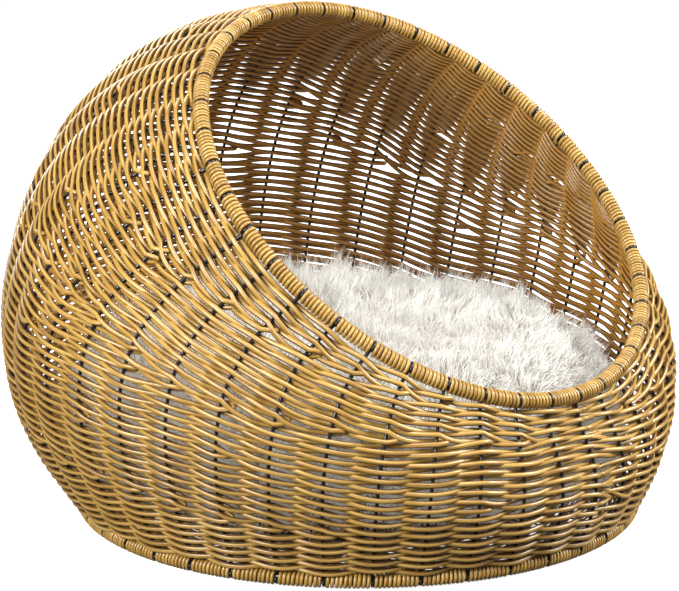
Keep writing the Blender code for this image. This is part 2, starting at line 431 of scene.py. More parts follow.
@dataclass(frozen=True)
class StrandFinish:
    """Smooth honey-coloured strand with long faint streaks, paler and browner by the length.

    Painted shade darkens the sides where next rows touch, and reddens the face turned into the bed.
    """

    name: str = "honey_strand_finish"
    brown: tuple = (0.250, 0.117, 0.019)
    honey: tuple = (0.455, 0.262, 0.053)
    pale: tuple = (0.640, 0.415, 0.122)
    # painted shade: near-black brown on the strand's sides, where the rows press together
    crease_shade: tuple = (0.070, 0.028, 0.005)
    crease_shade_share: float = 0.84
    # painted shade: a redder brown on the face turned into the bed, standing in for light bounced
    # inside it
    inner: tuple = (0.50, 0.225, 0.032)
    inward_shade_share: float = 0.72
    streak_scale: tuple = (55.0, 7.0)
    band_scale: tuple = (11.0, 0.6)
    fine_scale: tuple = (900.0, 9.0)
    roughness: float = 0.34

    def material(self) -> Material:
        """Streaks are noise drawn out along the strand; bands are noise along its length alone.

        Returns:
            The finished material.
        """
        graph = Graph(self.name)
        streak = graph.noise(graph.map_place(*self.streak_scale), 1.0, 3.0, 0.6)
        band = graph.noise(graph.map_place(*self.band_scale), 1.0, 2.0)
        fine = graph.noise(graph.map_place(*self.fine_scale), 1.0, 2.0)
        stops = [(0.33, self.brown), (0.5, self.honey), (0.66, self.pale)]
        colour = graph.ramp(band * 0.62 + streak * 0.38, stops)
        turn = graph.axis(graph.map_place(), "Y") * TURN
        side, facing = graph.math("SINE", turn), graph.math("COSINE", turn)
        # painted shade on the face turned into the bed
        inward_shade_mask = (0.5 - facing * 0.5).smooth(0.35, 0.95) * self.inward_shade_share
        # painted shade on the sides, where the rows press together
        crease_shade_mask = (side * side).smooth(0.38, 0.98) * self.crease_shade_share
        colour = graph.mix(inward_shade_mask, colour, self.inner)
        return graph.shade(
            Base_Color=graph.mix(crease_shade_mask, colour, self.crease_shade),
            Roughness=self.roughness + (streak - 0.5) * 0.22,
            Coat_Weight=0.35,
            Coat_Roughness=0.24,
            Specular_IOR_Level=0.5,
            Normal=graph.bump(streak * 0.7 + fine * 0.3, 0.30, 0.00022),
        )


@dataclass(frozen=True)
class WireFinish:
    """Black coating on steel wire, uneven in gloss, with small bare scuffs."""

    name: str = "black_wire_finish"
    black: tuple = (0.010, 0.010, 0.011)
    worn: tuple = (0.055, 0.052, 0.050)
    broad_scale: float = 190.0
    scuff_scale: float = 620.0
    roughness: float = 0.24

    def material(self) -> Material:
        """Scuffs are the peaks of one noise; the gloss follows a broader one.

        Returns:
            The finished material.
        """
        graph = Graph(self.name)
        place = graph.object_place()
        broad = graph.noise(place, self.broad_scale, 3.0)
        scuff = graph.noise(place, self.scuff_scale, 4.0, 0.65).smooth(0.60, 0.72)
        return graph.shade(
            Base_Color=graph.mix(scuff * 0.6, self.black, self.worn),
            Roughness=self.roughness + broad * 0.16 + scuff * 0.2,
            Coat_Weight=0.35,
            Coat_Roughness=0.12,
            Normal=graph.bump(broad, 0.25, 0.0002),
        )


@dataclass(frozen=True)
class PileFinish:
    """Long white pile: ivory and faintly grey at the root, white at the tip, with a painted glow.
    """

    name: str = "white_pile_finish"
    root: tuple = (0.49, 0.455, 0.385)
    middle: tuple = (0.640, 0.615, 0.560)
    tip: tuple = (0.700, 0.685, 0.640)
    patch_scale: float = 22.0
    # painted light: the pile glows with its own colour, standing in for light bounced through the
    # white hairs
    glow: float = 0.17

    def material(self) -> Material:
        """The colour follows the map's first number, 0 at the root and 1 at the tip.

        Returns:
            The finished material.
        """
        graph = Graph(self.name)
        height = graph.axis(graph.map_place(), "X")
        patch = graph.noise(graph.object_place(), self.patch_scale, 2.0)
        stops = [(0.05, self.root), (0.45, self.middle), (0.9, self.tip)]
        colour = graph.ramp(height * 0.8 + patch * 0.4 - 0.12, stops)
        return graph.shade(
            Base_Color=colour,
            Roughness=0.62 + patch * 0.2,
            Specular_IOR_Level=0.25,
            Sheen_Weight=0.25,
            Sheen_Roughness=0.5,
            # painted light: a glow in the pile's own colour
            Emission_Color=colour,
            Emission_Strength=self.glow,
        )


@dataclass(frozen=True)
class BackingFinish:
    """Knitted backing under the pile: ivory with fine stitches, and painted shade round the foot.
    """

    name: str = "knitted_backing_finish"
    dark: tuple = (0.44, 0.39, 0.33)
    pale: tuple = (0.64, 0.59, 0.53)
    # painted shade: near black round the cushion's foot, standing in for the shade low behind the
    # wall
    foot: tuple = (0.060, 0.045, 0.030)
    foot_shade_top: float = 0.040
    ivory_from: float = 0.066
    foot_shade_waver: float = 0.012
    stitches: tuple = (3200.0, 2600.0)
    # painted light: the backing glows faintly
    glow: float = 0.02

    def material(self) -> Material:
        """Stitches are two crossed sine waves on Object coordinates, broken up by noise.

        Returns:
            The finished material.
        """
        graph = Graph(self.name)
        place = graph.object_place()
        cloud = graph.noise(place, 40.0, 3.0)
        fibre = graph.noise(place, 900.0, 3.0, 0.7)
        first, second = (
            graph.math("SINE", graph.axis(place, name) * scale)
            for name, scale in zip("XY", self.stitches)
        )
        stitch = first * second * 0.5 + 0.5
        height = graph.axis(place, "Z") + (cloud - 0.5) * self.foot_shade_waver
        ivory = graph.mix(cloud * 0.6 + fibre * 0.4, self.dark, self.pale)
        # painted shade: near black at the foot, fading to the ivory backing higher up
        colour = graph.mix(height.smooth(self.foot_shade_top, self.ivory_from), self.foot, ivory)
        return graph.shade(
            Base_Color=colour,
            Roughness=0.85 + fibre * 0.1,
            Sheen_Weight=0.3,
            # painted light: a faint glow in the backing's colour
            Emission_Color=colour,
            Emission_Strength=self.glow,
            Normal=graph.bump(stitch * 0.6 + fibre * 0.4, 0.6, 0.0006),
        )


@dataclass(frozen=True)
class FloorFinish:
    """Plain pale stage floor."""

    name: str = "stage_floor"
    dull: tuple = (0.86, 0.86, 0.86)
    bright: tuple = (0.88, 0.88, 0.88)
    glow: float = 0.80

    def material(self) -> Material:
        """Near white with a faint grain.

        Returns:
            The finished material.
        """
        graph = Graph(self.name)
        grain = graph.noise(graph.object_place(), 9.0, 2.0)
        return graph.shade(
            Base_Color=graph.mix(grain, self.dull, self.bright),
            Roughness=0.9,
            Specular_IOR_Level=0.2,
            Emission_Color=(1.0, 1.0, 1.0),
            Emission_Strength=self.glow,
        )


# ---------------------------------------------------------------- pieces


def add_piece(
    name: str,
    surface: Surface,
    material: Material,
    body: Body,
    stands_for: "list[str]",
) -> bpy.types.Object:
    """A finished piece that rides on a body and stands for some of the model's nodes.

    Args:
        name: The piece's name.
        surface: Its shape, in place.
        material: Its finish.
        body: The body that it moves with.
        stands_for: Nodes of the model that it is shown instead of.

    Returns:
        The piece's object.
    """
    mesh = surface.mesh(name)
    mesh.materials.append(material)
    piece = bpy.data.objects.new(name, mesh)
    bpy.context.scene.collection.objects.link(piece)
    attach(piece, body.value)
    if stands_for:
        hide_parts(*stands_for)
    LOG.info("%s: %d triangles", name, 2 * len(surface.quads) + len(surface.triangles))
    return piece


def basket_piece(
    name: str, parts: "list[Surface]", material: Material, slot: Slot, *stands_for: str
) -> None:
    """Adds parts joined as one piece of the basket."""
    add_piece(name, Surface.joined(parts), material, Body.BASKET, list(stands_for))


@dataclass(frozen=True)
class Rim:
    """A round rod: its centre, its radius, and unit lines to its back and square to its plane."""

    centre: Array
    radius: float
    back: Array
    other: Array

    def frame(self, angle: Array) -> Triple:
        """Middle of the rod, its outward line and the line square to its plane at these angles.

        Args:
            angle: Angles round the rod's ring.

        Returns:
            The middles, the outward lines and the lines square to the plane.
        """
        outward = np.sin(angle)[..., None] * np.array([1.0, 0.0, 0.0])
        outward = outward - np.cos(angle)[..., None] * self.back
        middle = self.centre + self.radius * outward
        return middle, outward, np.broadcast_to(self.other, outward.shape)


@dataclass(frozen=True)
class Shell:
    """The bed's form: where every rib runs between the base ring and the opening hoop.

    A reach is a Bezier handle's length and a lean its slope, at the front, the sides and the back.
    """

    rib_count: int = 40
    centre_y: float = -0.0166
    rod_radius: float = 0.00275
    strand: float = 0.0030
    rib_radius: float = 0.00125
    ring_radius: float = 0.200
    foot_flat: float = 0.0030
    hoop_radius: float = 0.1783
    hoop_centre_y: float = -0.0656
    hoop_height: float = 0.2338
    hoop_tilt: float = math.radians(42.4)
    foot_reach: tuple = (0.0736, 0.1898, 0.0555)
    foot_lean: tuple = (math.radians(58.7), math.radians(61.7), math.radians(31.7))
    top_reach: tuple = (0.0310, 0.0543, 0.2599)
    top_lean: tuple = (math.radians(48.6), math.radians(60.3), math.radians(45.8))
    curve_samples: int = 401
    table_columns: int = 640
    table_rows: int = 257
    level_step: float = 0.0025
    level_count: int = 81
    tables: dict = field(default_factory=dict)

    @property
    def half(self) -> int:
        """The number of the back rib."""
        return self.rib_count // 2

    @property
    def wrap_radius(self) -> float:
        """Outside radius of a wrapped rim."""
        return self.rod_radius + self.strand

    def rib_angles(self, count: int) -> Array:
        """The angles of the first ribs."""
        return TURN * np.arange(count) / self.rib_count

    def rim(self, at_ring: bool) -> Rim:
        """The base ring, raised by its wrap with a small flat worn under it, or the hoop.

        Args:
            at_ring: Whether it is the base ring rather than the opening hoop.

        Returns:
            The rim's rod.
        """
        if at_ring:
            height = math.sqrt(self.wrap_radius**2 - (self.foot_flat / 2) ** 2)
            centre = np.array([0.0, self.centre_y, height])
            return Rim(centre, self.ring_radius, np.array([0.0, 1.0, 0.0]), UP)
        level, rise = math.cos(self.hoop_tilt), math.sin(self.hoop_tilt)
        centre = np.array([0.0, self.centre_y + self.hoop_centre_y, self.hoop_height])
        back, into = np.array([0.0, level, rise]), np.array([0.0, rise, -level])
        return Rim(centre, self.hoop_radius, back, into)

    @staticmethod
    def around(values: tuple, angle: Array) -> Array:
        """A value given at the front, sides and back, as a quadratic in the angle's cosine.

        Args:
            values: The value at the front, the sides and the back.
            angle: Angles round the bed.

        Returns:
            The value at every angle.
        """
        front, side, back = values
        forward = np.cos(angle)
        return side + (front - back) / 2 * forward + ((front + back) / 2 - side) * forward**2

    def handle(self, at_ring: bool, reach: tuple, lean: tuple, angle: Array) -> Pair:
        """Where the ribs leave a rim, and the Bezier handles there.

        Args:
            at_ring: Whether it is the base ring rather than the opening hoop.
            reach: Length of the handle at the front, the sides and the back.
            lean: Its slope at the same three places.
            angle: Angles round the bed.

        Returns:
            Points on the rim and the handles' ends.
        """
        middle, outward, other = self.rim(at_ring).frame(angle)
        slope = self.around(lean, angle)[:, None]
        leave = np.cos(slope) * outward + np.sin(slope) * other
        return middle[:, None], (middle + self.around(reach, angle)[:, None] * leave)[:, None]

    def rib_lines(self, angle: Array) -> Pair:
        """Each rib as a cubic curve from ring to hoop, sampled evenly by length.

        Args:
            angle: Angles round the bed.

        Returns:
            Points (angle, sample, 3) and the length of each line.
        """
        foot, near_foot = self.handle(True, self.foot_reach, self.foot_lean, angle)
        top, near_top = self.handle(False, self.top_reach, self.top_lean, angle)
        t = np.linspace(0, 1, self.curve_samples)[None, :, None]
        line = (1 - t) ** 3 * foot + 3 * (1 - t) ** 2 * t * near_foot
        line = line + 3 * (1 - t) * t**2 * near_top + t**3 * top
        steps = np.linalg.norm(np.diff(line, axis=1), axis=2)
        along = np.concatenate([np.zeros((len(angle), 1)), np.cumsum(steps, axis=1)], axis=1)
        share = np.linspace(0, 1, self.table_rows)
        even = np.empty((len(angle), self.table_rows, 3))
        for number, (length, points) in enumerate(zip(along, line)):
            for axis in range(3):
                even[number, :, axis] = np.interp(share * length[-1], length, points[:, axis])
        return even, along[:, -1]

    def table(self) -> Triple:
        """The wall as a grid of points, its outward normals and the rib length of every column.

        Returns:
            Points and normals (column, row, 3), and lengths by column.
        """
        if not self.tables:
            angle = TURN * np.arange(self.table_columns) / self.table_columns
            points, length = self.rib_lines(angle)
            beside = np.roll(points, -1, axis=0) - np.roll(points, 1, axis=0)
            ahead = np.gradient(points, axis=1)
            self.tables["wall"] = (points, unit(np.cross(beside, ahead)), length)
        return self.tables["wall"]

    def length(self, angle: Array) -> Array:
        """The rib length at these angles, read between the columns of the table.

        Args:
            angle: Angles round the bed.

        Returns:
            Lengths in metres.
        """
        place = np.asarray(angle) / TURN * self.table_columns
        first = np.floor(place).astype(int)
        share = place - first
        length = self.table()[2]
        count = self.table_columns
        return length[first % count] * (1 - share) + length[(first + 1) % count] * share

    def wall(self, angle: Array, distance: Array) -> Pair:
        """Points of the wall's middle surface and the outward normals there.

        Args:
            angle: Angles round the bed.
            distance: Distances along the ribs.

        Returns:
            Points and unit normals, read between the four nearest places of the table.
        """
        points, normals, _ = self.table()
        column = angle / TURN * self.table_columns
        row = np.clip(distance / self.length(angle), 0, 1) * (self.table_rows - 1)
        c = np.floor(column).astype(int)
        r = np.minimum(np.floor(row).astype(int), self.table_rows - 2)
        u, v = (column - c)[..., None], (row - r)[..., None]
        c0, c1 = c % self.table_columns, (c + 1) % self.table_columns
        found = []
        for grid in (points, normals):
            low = grid[c0, r] * (1 - u) + grid[c1, r] * u
            high = grid[c0, r + 1] * (1 - u) + grid[c1, r + 1] * u
            found.append(low * (1 - v) + high * v)
        return found[0], unit(found[1])

    def inner_radius(self, angle: Array, height: Array) -> Array:
        """Distance from the bed's upright axis to the wall's lower part, at angles and heights.

        Args:
            angle: Angles round the bed.
            height: Heights above the floor.

        Returns:
            Distances from the axis.
        """
        points, _, _ = self.table()
        column = np.round(angle / TURN * self.table_columns).astype(int) % self.table_columns
        levels = self.level_step * np.arange(self.level_count)
        reach = np.hypot(points[..., 0], points[..., 1] - self.centre_y)
        rise = np.maximum.accumulate(points[..., 2], axis=1)
        grid = np.stack([np.interp(levels, z, r) for z, r in zip(rise, reach)])
        row = np.round(height / self.level_step).astype(int)
        return grid[column, np.clip(row, 0, self.level_count - 1)]


@dataclass
class WireFrame:
    """Ribs hooked round the two rods, all in black coated wire."""

    shell: Shell
    finish: Material
    rib_sides: int = 8
    rib_stations: int = 72
    rib_inset: float = 0.6
    hook_radius: float = 0.00110
    hook_turn: float = math.radians(300)
    hook_drift: float = 0.35
    hook_stations: int = 16
    hook_sides: int = 6
    rod_stations: int = 240
    rod_sides: int = 12

    def rib(self, index: int) -> Surface:
        """A round wire along the rib's line, its ends just inside the rods.

        Args:
            index: The rib, counted from the front.

        Returns:
            The wire.
        """
        angle = np.full(self.rib_stations, TURN * index / self.shell.rib_count)
        length = float(self.shell.length(angle[:1])[0])
        inset = self.shell.rod_radius * self.rib_inset
        path, normal = self.shell.wall(angle, np.linspace(inset, length - inset, len(angle)))
        radius = self.shell.rib_radius
        return tube(path, normal, radius, radius, self.rib_sides)

    def hook(self, index: int, at_ring: bool) -> Surface:
        """The rib's end bent round a rod: rod radius + wire radius at every turn of the bend.

        Args:
            index: The rib, counted from the front.
            at_ring: Whether it is the base ring rather than the opening hoop.

        Returns:
            The bent wire.
        """
        angle = np.array([TURN * index / self.shell.rib_count])
        middle, outward, other = (part[0] for part in self.shell.rim(at_ring).frame(angle))
        length = float(self.shell.length(angle)[0])
        reach = self.shell.wrap_radius
        point, _ = self.shell.wall(angle, np.array([reach if at_ring else length - reach]))
        towards = unit(point[0] - middle)
        lean = math.atan2(float(towards @ other), float(towards @ outward))
        turn = lean + np.linspace(0, self.hook_turn, self.hook_stations)[:, None]
        spoke = np.cos(turn) * outward + np.sin(turn) * other
        wire = self.hook_radius
        aside = np.linspace(-self.hook_drift, self.hook_drift, self.hook_stations)[:, None]
        drift = aside * wire * np.cross(outward, other)
        path = middle + (self.shell.rod_radius + wire) * spoke + drift
        return tube(path, spoke, wire, wire, self.hook_sides)

    def rod(self, at_ring: bool) -> Surface:
        """A round rod carried round its ring.

        Args:
            at_ring: Whether it is the base ring rather than the opening hoop.

        Returns:
            The rod.
        """
        angle = TURN * np.arange(self.rod_stations) / self.rod_stations
        middle, outward, _ = self.shell.rim(at_ring).frame(angle)
        radius = self.shell.rod_radius
        return tube(middle, outward, radius, radius, self.rod_sides, closed=True)

    def build(self) -> None:
        """Adds the rods, and the ribs with their hooks."""
        indices = range(self.shell.rib_count)
        names = [f"rib_{index + 1:02d}" for index in indices]
        ribs = [self.rib(index) for index in indices]
        basket_piece("rib_wires", ribs, self.finish, Slot.STEEL, *names)
        for at_ring, name, node in ((True, "base", "base_ring"), (False, "hoop", "opening_hoop")):
            hooks = [self.hook(index, at_ring) for index in indices]
            basket_piece(f"{name}_rod", [self.rod(at_ring)], self.finish, Slot.STEEL, node)
            basket_piece(f"{name}_hooks", hooks, self.finish, Slot.STEEL)


@dataclass
class RimWrap:
    """A strand coiled tightly round a rod, with a small gap where each rib hooks on.

    The strand steps over the gap within one turn: it starts step_before turns ahead of the
    rib and takes step_length of a turn.
    """

    shell: Shell
    finish: Material
    name: str
    node: str
    at_ring: bool
    turns: int
    gap: float
    crossing: float
    strand: float = 0.00285
    stations: int = 15
    sides: int = 6
    step_before: float = 0.62
    step_length: float = 0.24
    wander: float = 0.00012
    swell: float = 0.018

    def path(self) -> Pair:
        """The coil's line: an even advance, with an extra step of one gap per rib at the crossing.

        Returns:
            Points of the coil's middle and the spokes from the rod to them.
        """
        rim = self.shell.rim(self.at_ring)
        section = TURN * rim.radius / self.shell.rib_count
        pitch = (section - self.gap) / self.turns
        coil = np.arange(self.shell.rib_count * self.turns * self.stations) / self.stations
        within = coil % self.turns
        step = np.clip((within - (self.turns - self.step_before)) / self.step_length, 0, 1)
        step = step * step * (3 - 2 * step)
        advance = np.floor(coil / self.turns) * section + within * pitch + step * self.gap
        advance = advance + (pitch + self.gap) / 2
        wander = self.wander * np.sin(coil * 2.399 + np.sin(coil * 0.71) * 2.0)
        turn = (self.crossing + TURN * (coil + 0.5))[:, None]
        middle, outward, other = rim.frame((advance + wander) / rim.radius)
        spoke = np.cos(turn) * outward + np.sin(turn) * other
        swell = 1 + self.swell * np.sin(coil * 1.618 * TURN / 3)
        reach = (self.shell.rod_radius + self.strand / 2) * swell[:, None]
        return middle + reach * spoke, spoke

    def build(self) -> None:
        """Adds the wrap."""
        path, spoke = self.path()
        half = self.strand / 2
        coil = tube(path, spoke, half, half, self.sides, closed=True)
        basket_piece(self.name, [coil], self.finish, Slot.STRAND, self.node)


@dataclass
class WeaveSide:
    """Where short rows begin on one side of the bed.

    A row is born at a rib and runs from there round the back. Rows are born in pairs, joined by a
    loop round that rib. Every line of loops is (offset, slope, first length, last length): the
    loops lie at offset + slope * (rib length - front rib length).
    """

    shell: Shell
    lines: tuple
    rim: float
    spare_low: float = 0.1
    spare_span: float = 0.8
    births: list = field(default_factory=list)
    pairs: list = field(default_factory=list)

    def plan(self, rows_at_front: int, rows_at_back: int) -> None:
        """Fills births and pairs, both ordered from the base up.

        Args:
            rows_at_front: Rows at the front rib, which run the whole way round.
            rows_at_back: Rows at the back rib.
        """
        lengths = self.shell.length(self.shell.rib_angles(self.shell.half + 1))
        span = lengths - 2 * self.rim
        self.births = [0] * rows_at_front
        self.pairs = [-1] * rows_at_front
        made = 0
        for rib in range(1, len(lengths)):
            share = (span[rib] - span[0]) / (span[-1] - span[0])
            wanted = 2 * round(share * (rows_at_back - rows_at_front) / 2)
            fresh = (wanted + rows_at_front - len(self.births)) // 2
            for place in self.loop_places(lengths, rib, fresh):
                spacing = span[rib] / (rows_at_front + wanted)
                position = int(round((place - self.rim) / spacing))
                position = min(max(position, 1), len(self.births) - 1)
                self.births[position:position] = [rib, rib]
                self.pairs[position:position] = [made, made]
                made += 1

    def loop_places(self, lengths: Array, rib: int, count: int) -> "list[float]":
        """Distances along the rib for this many loops: the lines that reach it, then in between.

        Args:
            lengths: Lengths of the ribs from front to back.
            rib: The rib.
            count: How many loops it gets.

        Returns:
            The distances in order.
        """
        length = lengths[rib]
        places = [
            offset + slope * (length - lengths[0])
            for offset, slope, first, last in self.lines
            if first <= length <= last
        ]
        for spare in range(1, count - len(places) + 1):
            share = (0.34 + GOLDEN * (spare + 1.7 * rib)) % self.spare_span
            places.append((share + self.spare_low) * length)
        return sorted(places[:count])

    def twin(self, row: int) -> int:
        """The row that shares this row's loop."""
        same = (other for other, pair in enumerate(self.pairs) if pair == self.pairs[row])
        return next(other for other in same if other != row)

    def distances(self, rib: int) -> Array:
        """Where each row crosses a rib, evenly spaced; an unborn row gets its loop's place.

        Args:
            rib: The rib, counted from the front.

        Returns:
            A distance along the rib for every row.
        """
        born = np.array(self.births) <= rib
        length = float(self.shell.length(TURN * rib / self.shell.rib_count))
        rank = np.cumsum(born) - 0.5
        return self.rim + rank * (length - 2 * self.rim) / born.sum()


@dataclass
class WovenWall:
    """Strand woven over and under the ribs: rows all round, and short rows looped back."""

    shell: Shell
    finish: Material
    rows_at_front: int = 32
    rows_at_back: int = 142
    row_pitch: float = 0.0032
    rim_gap: float = 0.0004
    half_depth: float = 0.00155
    half_width: float = 0.00178
    stations: int = 8
    sides: int = 8
    swing_depth: float = 0.0030
    slant: float = 0.00055
    unevenness: float = 0.00016
    loop_reach: float = 0.24
    loop_points: int = 6
    closing: float = 3.0
    closing_rows: float = 3.0
    seed: int = 7
    loop_lines: tuple = (
        (
            (0.088, 0.37, 0.118, 0.275),
            (0.1065, 0.71, 0.139, 0.345),
            (0.022, 0.20, 0.150, 0.420),
            (0.060, 0.62, 0.240, 0.440),
        ),
        (
            (0.090, 0.35, 0.118, 0.285),
            (0.1055, 0.73, 0.145, 0.350),
            (0.028, 0.17, 0.160, 0.430),
            (0.055, 0.60, 0.245, 0.430),
        ),
    )
    pieces: tuple = (
        ("weave_base_rows", "weave_base_rounds"),
        ("weave_lower_short_rows", "weave_short_rows"),
        ("weave_upper_short_rows", "weave_short_rows"),
        ("weave_hoop_rows", "weave_hoop_rounds"),
    )

    def row_path(
        self, sides: "list[WeaveSide]", row: int, crossings: "list[Array]", noise: Array
    ) -> "tuple[Array, Array, bool]":
        """The middle line of one row, from its left loop round the back to its right loop.

        Between ribs the row swings out and in as the cosine of half a turn per rib.

        Args:
            sides: The plans of the left and the right side.
            row: The row, counted from the base at the back rib.
            crossings: Distances at every rib for the left and the right side.
            noise: This row's small random shifts, one per rib.

        Returns:
            Points, outward normals, and whether the row closes on itself.
        """
        half, count = self.shell.half, self.shell.rib_count
        first, last = (side.births[row] for side in sides)
        closed = first == 0 and last == 0
        ribs = np.arange(first, count - last + 1)
        near = crossings[0][np.minimum(ribs, half), row]
        far = crossings[1][count - np.maximum(ribs, half), row]
        known, value = ribs, np.where(ribs <= half, near, far) + noise[ribs % count]
        steps = np.arange(ribs[0] * self.stations, ribs[-1] * self.stations + 1)
        if closed:
            steps = steps[:-1]
            known = np.concatenate([ribs[:-1] - count, ribs[:-1], ribs[:-1] + count])
            value = np.tile(value[:-1], 3)
        place = steps / self.stations
        way = 1 - 2 * (row % 2)
        distance = self.through(known, value, place) + self.close_up(sides, row, place)
        distance = distance + self.slant * np.sin(math.pi * place) * way
        line = np.stack([place, distance, np.cos(math.pi * place) * way])
        if not closed:
            near = self.loop(line[:, 0], sides[0], row, crossings[0], -1)
            far = self.loop(line[:, -1], sides[1], row, crossings[1], 1)
            line = np.concatenate([near[:, ::-1], line, far], axis=1)
        place, distance, swing = line
        point, normal = self.shell.wall(-place * TURN / count, distance)
        return point + (self.swing_depth * swing)[:, None] * normal, normal, closed

    def bend(self, side: WeaveSide, rib: int) -> Array:
        """How far each row is pushed up at a rib by the loops that are born there.

        The push is one pair of rows next to a loop and dies away with the rows above it.

        Args:
            side: The plan of one side.
            rib: The rib.

        Returns:
            The push on every row in metres.
        """
        births = np.array(side.births)
        born = births <= rib
        rank = np.cumsum(born)
        fresh = np.flatnonzero(births == rib)[1::2]
        above = rank[:, None] - rank[fresh][None, :]
        push = np.where(above > 0, np.exp(-(above - 1) / self.closing_rows), 0.0)
        return 2 * self.row_pitch * push.sum(axis=1) * born

    def close_up(self, sides: "list[WeaveSide]", row: int, place: Array) -> Array:
        """Rows above a loop come down soon after its tip: push * (share ** closing - share).

        Args:
            sides: The plans of the left and the right side.
            row: The row.
            place: Places along the row, in ribs.

        Returns:
            What to add to the row's distances.
        """
        given = np.zeros_like(place)
        half = self.shell.half
        for side, from_front in zip(sides, (place, 2 * half - place)):
            span = np.ceil(from_front - TINY).astype(int)
            on_side = (from_front >= 0) & (from_front <= half) & (span >= 1)
            bends = np.array([0.0] + [self.bend(side, rib)[row] for rib in range(1, half + 1)])
            share = np.clip(from_front - (span - 1), 0, 1)
            amount = bends[np.clip(span, 0, half)] * (share**self.closing - share)
            given = given + np.where(on_side, amount, 0.0)
        return given

    def loop(self, end: Array, side: WeaveSide, row: int, crossings: Array, way: int) -> Array:
        """The quarter turn from a row's last rib to the tip of the loop that it shares.

        Args:
            end: Place, distance and swing at the row's end.
            side: The plan of this side.
            row: The row.
            crossings: Distances at every rib of this side.
            way: 1 where the place grows towards the tip, -1 where it falls.

        Returns:
            Places, distances and swings up to the tip, none if the row has no loop here.
        """
        birth = side.births[row]
        if birth == 0:
            return np.zeros((3, 0))
        place, distance, swing = end
        middle = (crossings[birth, row] + crossings[birth, side.twin(row)]) / 2
        turn = np.linspace(0, math.pi / 2, self.loop_points + 1)[1:]
        return np.stack(
            [
                place + way * self.loop_reach * np.sin(turn),
                distance + (middle - distance) * (1 - np.cos(turn)),
                swing * np.cos(turn),
            ]
        )

    @staticmethod
    def through(known: Array, value: Array, place: Array) -> Array:
        """A smooth curve through evenly spaced values: a cubic per span with averaged slopes.

        Args:
            known: Evenly spaced places, one apart.
            value: The values there.
            place: Places where the curve is wanted.

        Returns:
            The curve's values.
        """
        slope = np.gradient(value) if len(value) > 1 else np.zeros(1)
        span = np.clip(np.floor(place - known[0]).astype(int), 0, max(len(known) - 2, 0))
        after = np.minimum(span + 1, len(known) - 1)
        t = place - known[0] - span
        return (
            (2 * t**3 - 3 * t**2 + 1) * value[span]
            + (t**3 - 2 * t**2 + t) * slope[span]
            + (3 * t**2 - 2 * t**3) * value[after]
            + (t**3 - t**2) * slope[after]
        )

    def build(self) -> None:
        """Adds the rows as four pieces, from the base up."""
        rim = self.shell.wrap_radius + self.rim_gap
        sides = [WeaveSide(self.shell, lines, rim) for lines in self.loop_lines]
        for side in sides:
            side.plan(self.rows_at_front, self.rows_at_back)
        ribs = range(self.shell.half + 1)
        crossings = [np.stack([side.distances(rib) for rib in ribs]) for side in sides]
        chance = np.random.default_rng(self.seed)
        depth, width = self.half_depth, self.half_width
        rows = []
        for row in range(self.rows_at_back):
            noise = chance.normal(0.0, self.unevenness, self.shell.rib_count)
            path, normal, closed = self.row_path(sides, row, crossings, noise)
            start = float(chance.uniform(0, 50))
            rows.append(tube(path, normal, depth, width, self.sides, closed, start))
        sizes = np.cumsum([len(surface.quads) for surface in rows])
        quarter = np.minimum((sizes - 1) * 4 // sizes[-1], 3)
        for number, (name, node) in enumerate(self.pieces):
            chosen = [surface for surface, q in zip(rows, quarter) if q == number]
            basket_piece(name, chosen, self.finish, Slot.STRAND, node)


@dataclass
class WovenFloor:
    """The flat bottom: flat strand woven in rounds over wire spokes, on two crossed wires."""

    shell: Shell
    strand_finish: Material
    wire_finish: Material
    radius: float = 0.1925
    hub: float = 0.012
    edge: float = 0.0016
    middle: float = 0.0062
    pitch: float = 0.0033
    half_thickness: float = 0.00062
    half_width: float = 0.00155
    stations: int = 4
    strand_sides: int = 6
    map_step: float = 3.7
    wire_stations: int = 12
    wire_sides: int = 8
    spoke_start: float = 0.010
    spoke_radius: float = 0.00062
    cross_radius: float = 0.0015
    cross_height: float = 0.0024

    def round_strand(self, number: int) -> Surface:
        """A ring of strand whose height swings over and under the spokes.

        Args:
            number: The round, counted from the edge.

        Returns:
            The ring.
        """
        spokes = self.shell.rib_count
        turns = np.arange(spokes * self.stations) / (spokes * self.stations) * TURN
        swing = np.cos(turns * spokes / 2) * (1 - 2 * (number % 2))
        path = (self.radius - self.edge - number * self.pitch) * outward_lines(turns)
        path[:, 1] += self.shell.centre_y
        path[:, 2] = self.middle + swing * (self.half_thickness + self.spoke_radius)
        upright = np.broadcast_to(UP, path.shape)
        depth, width, start = self.half_thickness, self.half_width, self.map_step * number
        return tube(path, upright, depth, width, self.strand_sides, closed=True, start=start)

    def rod(self, angle: float, inner: float, height: float, radius: float) -> Surface:
        """A straight round wire from an inner radius to the floor's edge.

        Args:
            angle: Direction from the middle.
            inner: Radius where it starts.
            height: Height of its middle line.
            radius: The wire's own radius.

        Returns:
            The wire.
        """
        reach = np.linspace(inner, self.radius, self.wire_stations)
        path = reach[:, None] * outward_lines(np.array([angle]))
        path[:, 1] += self.shell.centre_y
        path[:, 2] = height
        return tube(path, np.broadcast_to(UP, path.shape), radius, radius, self.wire_sides)

    def build(self) -> None:
        """Adds the rounds, the spokes and the crossed wires."""
        rounds = range(int((self.radius - self.hub) / self.pitch))
        strands = [self.round_strand(number) for number in rounds]
        basket_piece("floor_rounds", strands, self.strand_finish, Slot.STRAND, "woven_floor")
        spokes = [
            self.rod(angle, self.spoke_start, self.middle, self.spoke_radius)
            for angle in self.shell.rib_angles(self.shell.rib_count)
        ]
        basket_piece("floor_spokes", spokes, self.wire_finish, Slot.STEEL)
        cross = [
            self.rod(angle, -self.radius, self.cross_height, self.cross_radius)
            for angle in (0.0, TURN / 4)
        ]
        basket_piece("floor_cross", cross, self.wire_finish, Slot.STEEL, "floor_wires")


